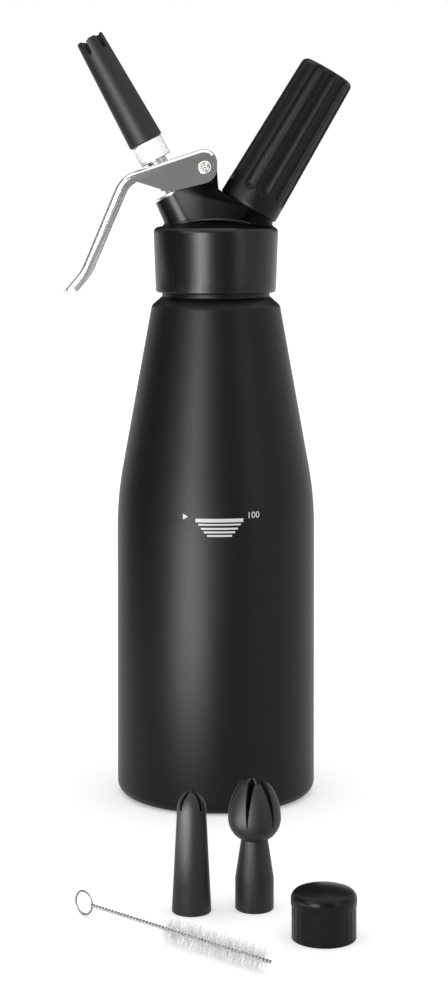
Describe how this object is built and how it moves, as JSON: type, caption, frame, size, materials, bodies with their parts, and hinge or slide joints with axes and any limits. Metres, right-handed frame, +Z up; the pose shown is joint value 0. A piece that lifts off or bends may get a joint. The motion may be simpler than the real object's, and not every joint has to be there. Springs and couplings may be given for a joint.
{
  "type": "whipped cream dispenser",
  "caption": "Black siphon-style whipped cream dispenser with steel squeeze lever, leaning nozzle, screw-on gas charger holder, spare tips, cap and cleaning brush.",
  "frame": {"origin": "centre of the bottle's base, on the surface it stands on", "axes": "+Z up along the bottle's axis, +X towards the charger holder, -Y towards the fill mark and the spare pieces, -X towards the nozzle and lever"},
  "size_m": [0.1433, 0.3114, 0.3784],
  "materials": {
    "bottle_coat": "matte black coating",
    "head_coat": "satin black coating",
    "steel_polished": "polished",
    "steel_inner": "satin",
    "brass_inner": "satin",
    "alu_inner": "satin",
    "black_plastic": "satin",
    "grey_plastic": "satin",
    "cap_plastic": "gloss",
    "seal_rubber": "matte",
    "adapter_metal": "polished",
    "bristle_nylon": "fine"
  },
  "bodies": {
    "bottle": {"bottle": "bottle_coat"},
    "head_ring": {"head_gasket": "seal_rubber"},
    "head": {"head_casting": "head_coat", "pivot_barrel": "steel_polished", "pivot_screw": "steel_polished", "valve_guide": "steel_inner", "valve_spring": "steel_inner", "piercing_body": "brass_inner", "piercing_pin": "steel_inner", "charger_seal": "seal_rubber", "inlet_check_valve": "seal_rubber"},
    "lever": {"lever": "steel_polished"},
    "valve": {"valve_stem": "steel_inner", "upper_o_ring": "seal_rubber", "lower_o_ring": "seal_rubber", "valve_seal": "seal_rubber", "valve_nut": "brass_inner", "tip_adapter": "adapter_metal"},
    "tip_ring": {"tip_seal": "seal_rubber"},
    "mounted_tip": {"star_tip": "grey_plastic"},
    "charger": {"gas_charger": "steel_inner"},
    "holder": {"holder_sleeve": "alu_inner", "holder_grip": "black_plastic"},
    "spare_straight_tip": {"straight_tip": "grey_plastic"},
    "spare_tulip_tip": {"tulip_tip": "grey_plastic"},
    "cap": {"protective_cap": "cap_plastic"},
    "brush": {"brush_wire": "steel_polished", "brush_bristles": "bristle_nylon"}
  },
  "joints": [
    {"name": "head_lift", "type": "slide", "parent": "bottle", "child": "head_ring", "axis": [0, 0, 1], "range_m": [0, 0.016]},
    {"name": "head_turn", "type": "hinge", "parent": "head_ring", "child": "head", "pos_m": [0, 0, 0.266], "axis": [0, 0, 1], "range_deg": [0, 1440]},
    {"name": "lever_squeeze", "type": "hinge", "parent": "head", "child": "lever", "pos_m": [-0.00545, 0, 0.31125], "axis": [0, -1, 0], "range_deg": [0, 7.9]},
    {"name": "valve_travel", "type": "slide", "parent": "head", "child": "valve", "axis": [0.4818, 0, -0.8763], "range_m": [0, 0.0027], "stiffness_N_per_m": 400, "springref_m": -0.004, "deforming": ["valve_spring"]},
    {"name": "tip_lift", "type": "slide", "parent": "valve", "child": "tip_ring", "axis": [-0.4818, 0, 0.8763], "range_m": [0, 0.008]},
    {"name": "tip_turn", "type": "hinge", "parent": "tip_ring", "child": "mounted_tip", "pos_m": [-0.03462, 0, 0.32393], "axis": [-0.4818, 0, 0.8763], "range_deg": [0, 1440]},
    {"name": "charger_travel", "type": "slide", "parent": "head", "child": "charger", "axis": [0.509, 0, 0.8607], "range_m": [0, 0.012]},
    {"name": "holder_turn", "type": "hinge", "parent": "charger", "child": "holder", "pos_m": [0.016, 0, 0.2916], "axis": [0.509, 0, 0.8607], "range_deg": [0, 2160]},
    {"name": "straight_tip_lift", "type": "slide", "parent": "bottle", "child": "spare_straight_tip", "axis": [0, 0, 1], "range_m": [0, 0.08]},
    {"name": "tulip_tip_lift", "type": "slide", "parent": "bottle", "child": "spare_tulip_tip", "axis": [0, 0, 1], "range_m": [0, 0.08]},
    {"name": "cap_lift", "type": "slide", "parent": "bottle", "child": "cap", "axis": [0, 0, 1], "range_m": [0, 0.08]},
    {"name": "brush_lift", "type": "slide", "parent": "bottle", "child": "brush", "axis": [0, 0, 1], "range_m": [0, 0.08]}
  ],
  "couplings": [
    {"joint": "head_lift", "follows": "head_turn", "m_per_rad": 0.00063662},
    {"joint": "valve_travel", "follows": "lever_squeeze", "m_per_rad": 0.019458},
    {"joint": "tip_lift", "follows": "tip_turn", "m_per_rad": 0.00031831},
    {"joint": "charger_travel", "follows": "holder_turn", "m_per_rad": 0.00031831}
  ]
}
